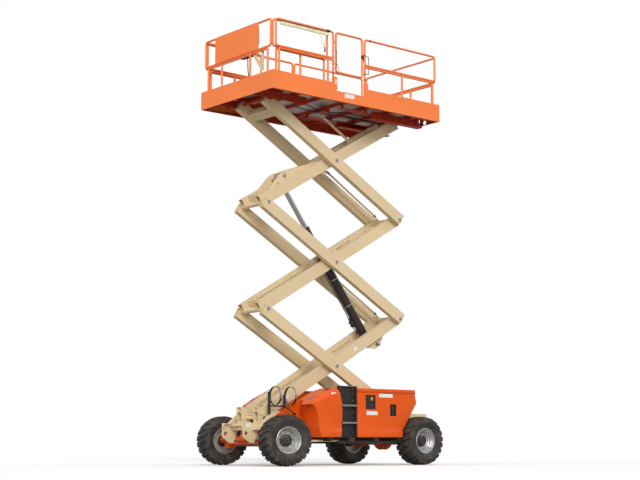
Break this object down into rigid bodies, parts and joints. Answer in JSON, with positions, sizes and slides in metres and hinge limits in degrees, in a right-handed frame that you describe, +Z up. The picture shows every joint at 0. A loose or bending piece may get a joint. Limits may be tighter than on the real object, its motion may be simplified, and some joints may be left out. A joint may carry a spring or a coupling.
{
  "type": "scissor lift",
  "caption": "Rough-terrain scissor lift with four large steel-rimmed tyres, crossed tubular arms, hinged engine hoods and a railed platform with a sliding deck extension, partly raised",
  "frame": {"origin": "ground level, at the centre of the bounding box in plan", "axes": "+X toward the steered front end, +Y to the machine's left side, +Z up"},
  "size_m": [4.0681, 2.4476, 7.4552],
  "materials": {
    "tyre": "worn matte rubber with dust",
    "rim_steel": "bare stepped steel disc",
    "chrome_rod": "polished hard chrome",
    "cylinder_paint": "semi-gloss black paint",
    "orange_paint": "gloss orange paint",
    "deck_plate": "worn tread plate",
    "red_oxide": "satin red paint",
    "black_paint": "satin black paint",
    "tan_paint": "satin cream paint",
    "steel": "plain steel",
    "hose_rubber": "matte black rubber"
  },
  "bodies": {
    "inner_1": {"inner_arms_1": "tan_paint", "inner_cross_1": "tan_paint"},
    "outer_1": {"outer_arms_1": "tan_paint", "outer_pins_1": "tan_paint"},
    "inner_2": {"inner_arms_2": "tan_paint", "inner_cross_2": "tan_paint"},
    "outer_2": {"outer_arms_2": "tan_paint", "outer_pins_2": "tan_paint"},
    "inner_3": {"inner_arms_3": "tan_paint", "inner_cross_3": "tan_paint"},
    "outer_3": {"outer_arms_3": "tan_paint", "outer_pins_3": "tan_paint"},
    "barrel": {"cylinder_barrel": "cylinder_paint"},
    "hose_link": {"hose_link": "tan_paint"},
    "stage": {"cylinder_stage": "cylinder_paint"},
    "rod": {"cylinder_rod": "chrome_rod"},
    "platform": {"cable_track": "tan_paint", "left_front_rail": "orange_paint", "left_rear_rail": "orange_paint", "platform_floor": "deck_plate", "platform_frame": "red_oxide", "platform_skirts": "orange_paint", "rear_rail": "orange_paint", "right_rail": "orange_paint"},
    "extension": {"control_box": "black_paint", "control_cord": "hose_rubber", "extension_deck": "orange_paint", "extension_front_rail": "orange_paint", "extension_side_rails": "orange_paint", "front_board": "orange_paint"},
    "gate": {"entry_gate": "orange_paint"},
    "left_hood": {"left_hood": "orange_paint", "ground_controls": "black_paint"},
    "left_knuckle": {"knuckle_left": "orange_paint"},
    "front_left_wheel": {"tyre_front_left": "tyre", "rim_front_left": "rim_steel"},
    "rear_left_wheel": {"tyre_rear_left": "tyre", "rim_rear_left": "rim_steel"},
    "right_hood": {"right_hood": "orange_paint"},
    "right_knuckle": {"knuckle_right": "orange_paint"},
    "front_right_wheel": {"tyre_front_right": "tyre", "rim_front_right": "rim_steel"},
    "rear_right_wheel": {"tyre_rear_right": "tyre", "rim_rear_right": "rim_steel"},
    "tie_rod": {"tie_rod": "steel"},
    "steering_rod": {"steering_rod": "chrome_rod"},
    "chassis": {"bottle_rack": "black_paint", "chassis_frame": "tan_paint", "engine_block": "black_paint", "front_axle": "orange_paint", "front_bracket": "tan_paint", "gas_hose": "hose_rubber", "ladder": "black_paint", "left_front_cover": "orange_paint", "rear_axle": "orange_paint", "right_front_cover": "orange_paint", "side_panels": "orange_paint", "side_sills": "black_paint"}
  },
  "joints": [
    {"name": "lift", "type": "hinge", "parent": "chassis", "child": "inner_1", "pos_m": [1.53, 0, 0.795], "axis": [0, 1, 0], "range_deg": [-25.5, 29]},
    {"name": "cross_1", "type": "hinge", "parent": "inner_1", "child": "outer_1", "pos_m": [0.0171, 0, 1.70404], "axis": [0, 1, 0], "range_deg": [-58.5, 51.5]},
    {"name": "joint_1", "type": "hinge", "parent": "outer_1", "child": "inner_2", "pos_m": [1.53, 0, 2.61308], "axis": [0, 1, 0], "range_deg": [-51.5, 58.5]},
    {"name": "cross_2", "type": "hinge", "parent": "inner_2", "child": "outer_2", "pos_m": [0.0171, 0, 3.52213], "axis": [0, 1, 0], "range_deg": [-58.5, 51.5]},
    {"name": "joint_2", "type": "hinge", "parent": "outer_2", "child": "inner_3", "pos_m": [1.53, 0, 4.43117], "axis": [0, 1, 0], "range_deg": [-51.5, 58.5]},
    {"name": "cross_3", "type": "hinge", "parent": "inner_3", "child": "outer_3", "pos_m": [0.0171, 0, 5.34021], "axis": [0, 1, 0], "range_deg": [-58.5, 51.5]},
    {"name": "platform_level", "type": "hinge", "parent": "outer_3", "child": "platform", "pos_m": [1.53, 0, 6.24925], "axis": [0, 1, 0], "range_deg": [-26, 29.5]},
    {"name": "cylinder_tilt", "type": "hinge", "parent": "inner_1", "child": "barrel", "pos_m": [-1.10165, 0, 2.14293], "axis": [0, 1, 0], "range_deg": [-62.56, 55.07]},
    {"name": "cylinder_stage", "type": "slide", "parent": "barrel", "child": "stage", "axis": [0.599, 0, 0.8007], "range_m": [-0.5694, 0.6462]},
    {"name": "cylinder_rod", "type": "slide", "parent": "stage", "child": "rod", "axis": [0.599, 0, 0.8007], "range_m": [-0.5694, 0.6462]},
    {"name": "hose_link_tilt", "type": "hinge", "parent": "inner_3", "child": "hose_link", "pos_m": [-0.64989, 0, 5.83198], "axis": [0, 1, 0], "range_deg": [-60.53, 53.28]},
    {"name": "deck_extension", "type": "slide", "parent": "platform", "child": "extension", "axis": [1, 0, 0], "range_m": [0, 1.22]},
    {"name": "entry_gate", "type": "hinge", "parent": "platform", "child": "gate", "pos_m": [0.6, 1.0077, 6.9], "axis": [0, 0, 1], "range_deg": [0, 100]},
    {"name": "left_hood_lift", "type": "hinge", "parent": "chassis", "child": "left_hood", "pos_m": [-0.65, 0.512, 1.286], "axis": [1, 0, 0], "range_deg": [0, 75]},
    {"name": "steering", "type": "hinge", "parent": "chassis", "child": "left_knuckle", "pos_m": [1.53, 0.69, 0.419], "axis": [0, 0, 1], "range_deg": [-17, 43]},
    {"name": "front_left_spin", "type": "hinge", "parent": "left_knuckle", "child": "front_left_wheel", "pos_m": [1.58961, 0.94821, 0.419], "axis": [0.225, 0.9744, 0], "continuous": true},
    {"name": "rear_left_spin", "type": "hinge", "parent": "chassis", "child": "rear_left_wheel", "pos_m": [-1.42, 0.955, 0.419], "axis": [0, 1, 0], "continuous": true},
    {"name": "right_hood_lift", "type": "hinge", "parent": "chassis", "child": "right_hood", "pos_m": [-0.65, -0.512, 1.286], "axis": [-1, 0, 0], "range_deg": [0, 75]},
    {"name": "right_steering", "type": "hinge", "parent": "chassis", "child": "right_knuckle", "pos_m": [1.53, -0.69, 0.419], "axis": [0, 0, 1], "range_deg": [-17, 43]},
    {"name": "front_right_spin", "type": "hinge", "parent": "right_knuckle", "child": "front_right_wheel", "pos_m": [1.47039, -0.94821, 0.419], "axis": [0.225, 0.9744, 0], "continuous": true},
    {"name": "rear_right_spin", "type": "hinge", "parent": "chassis", "child": "rear_right_wheel", "pos_m": [-1.42, -0.955, 0.419], "axis": [0, 1, 0], "continuous": true},
    {"name": "steering_ram", "type": "slide", "parent": "chassis", "child": "steering_rod", "axis": [0, 1, 0], "range_m": [-0.034, 0.0831]},
    {"name": "tie_rod_end", "type": "hinge", "parent": "left_knuckle", "child": "tie_rod", "pos_m": [1.34487, 0.73274, 0.329], "axis": [0, 0, 1], "range_deg": [-43, 17]}
  ],
  "couplings": [
    {"joint": "cross_1", "follows": "lift", "ratio": -2},
    {"joint": "joint_1", "follows": "lift", "ratio": 2},
    {"joint": "cross_2", "follows": "lift", "ratio": -2},
    {"joint": "joint_2", "follows": "lift", "ratio": 2},
    {"joint": "cross_3", "follows": "lift", "ratio": -2},
    {"joint": "platform_level", "follows": "lift", "ratio": 1},
    {"joint": "cylinder_tilt", "follows": "lift", "ratio": -2.14},
    {"joint": "cylinder_stage", "follows": "lift", "m_per_rad": 1.257},
    {"joint": "cylinder_rod", "follows": "lift", "m_per_rad": 1.257},
    {"joint": "hose_link_tilt", "follows": "lift", "ratio": -2.07},
    {"joint": "right_steering", "follows": "steering", "ratio": 1},
    {"joint": "steering_ram", "follows": "steering", "m_per_rad": 0.108},
    {"joint": "tie_rod_end", "follows": "steering", "ratio": -1}
  ]
}
